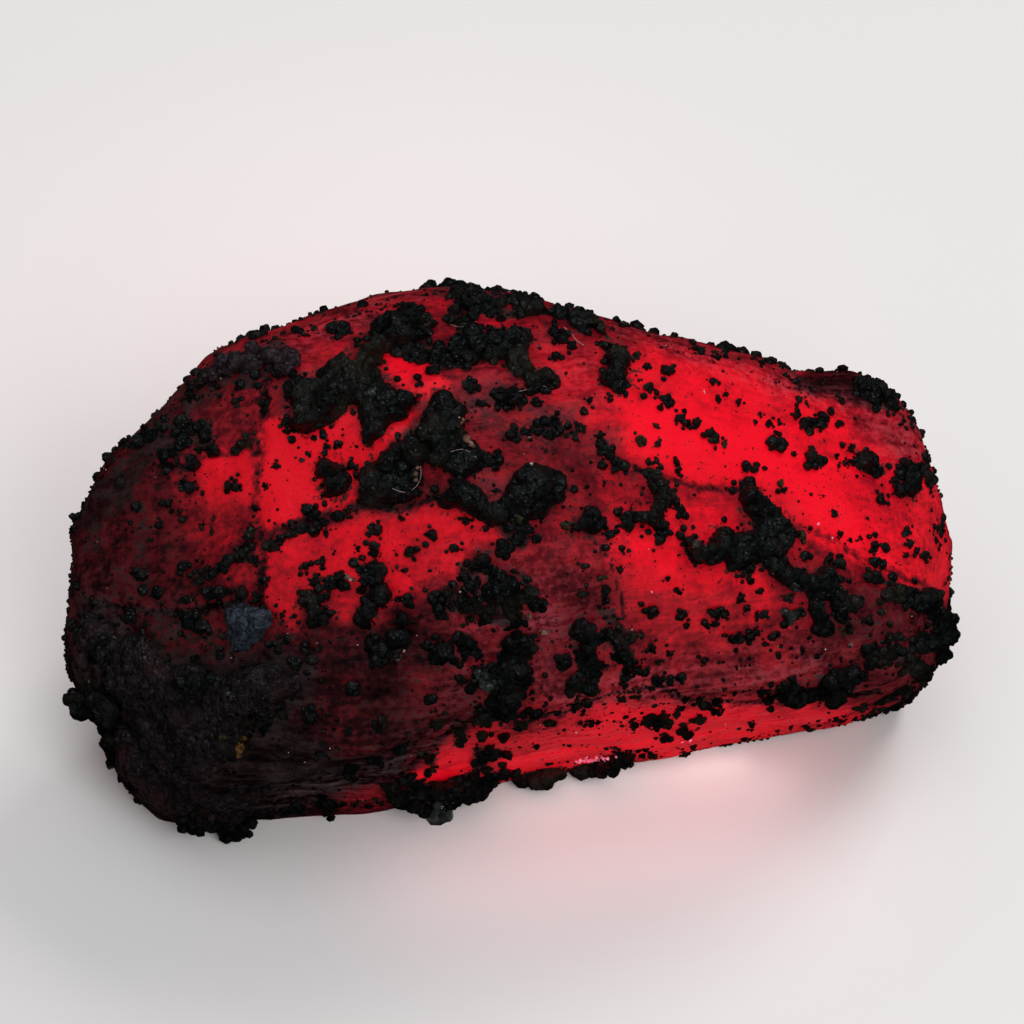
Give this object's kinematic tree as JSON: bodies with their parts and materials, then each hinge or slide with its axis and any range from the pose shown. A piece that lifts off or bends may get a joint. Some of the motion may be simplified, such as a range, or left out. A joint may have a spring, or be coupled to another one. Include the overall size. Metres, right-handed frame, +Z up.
{
  "type": "raw ruby crystal",
  "caption": "Broken, worn block of rough red ruby, see-through in places, with patches of black mineral crust on its faces and a flat side to rest on.",
  "frame": {"origin": "under the middle of the stone's box, on the surface it rests on", "axes": "+X along the stone's long axis, towards its narrower right end; +Y towards the back; +Z up from the flat face it rests on"},
  "size_m": [0.0454, 0.0246, 0.0235],
  "materials": {
    "ruby": "raw frosted corundum, red, see-through where thin",
    "black_mineral": "rough granular crust with a faint waxy shine"
  },
  "bodies": {
    "root": {"ruby_crystal": "ruby", "crust_back_high": "black_mineral", "crust_back_left": "black_mineral", "crust_back_low": "black_mineral", "crust_back_right": "black_mineral", "crust_band": "black_mineral", "crust_blot_left": "black_mineral", "crust_chain_left": "black_mineral", "crust_crown": "black_mineral", "crust_crown_right": "black_mineral", "crust_far_ridge": "black_mineral", "crust_front_chain": "black_mineral", "crust_glint": "black_mineral", "crust_grey_lump": "black_mineral", "crust_left_edge": "black_mineral", "crust_left_end": "black_mineral", "crust_left_of_middle": "black_mineral", "crust_low_right": "black_mineral", "crust_low_right_edge": "black_mineral", "crust_lower_left": "black_mineral", "crust_lower_middle": "black_mineral", "crust_lower_right": "black_mineral", "crust_lower_spot": "black_mineral", "crust_middle": "black_mineral", "crust_middle_low": "black_mineral", "crust_right_cross": "black_mineral", "crust_right_end": "black_mineral", "crust_right_ledge": "black_mineral", "crust_right_middle": "black_mineral", "crust_right_rim": "black_mineral", "crust_shoulder": "black_mineral", "crust_spur": "black_mineral", "crust_toe": "black_mineral", "crust_toe_far_right": "black_mineral", "crust_toe_right": "black_mineral", "crust_under_band": "black_mineral", "crust_upper_right": "black_mineral"}
  },
  "joints": []
}
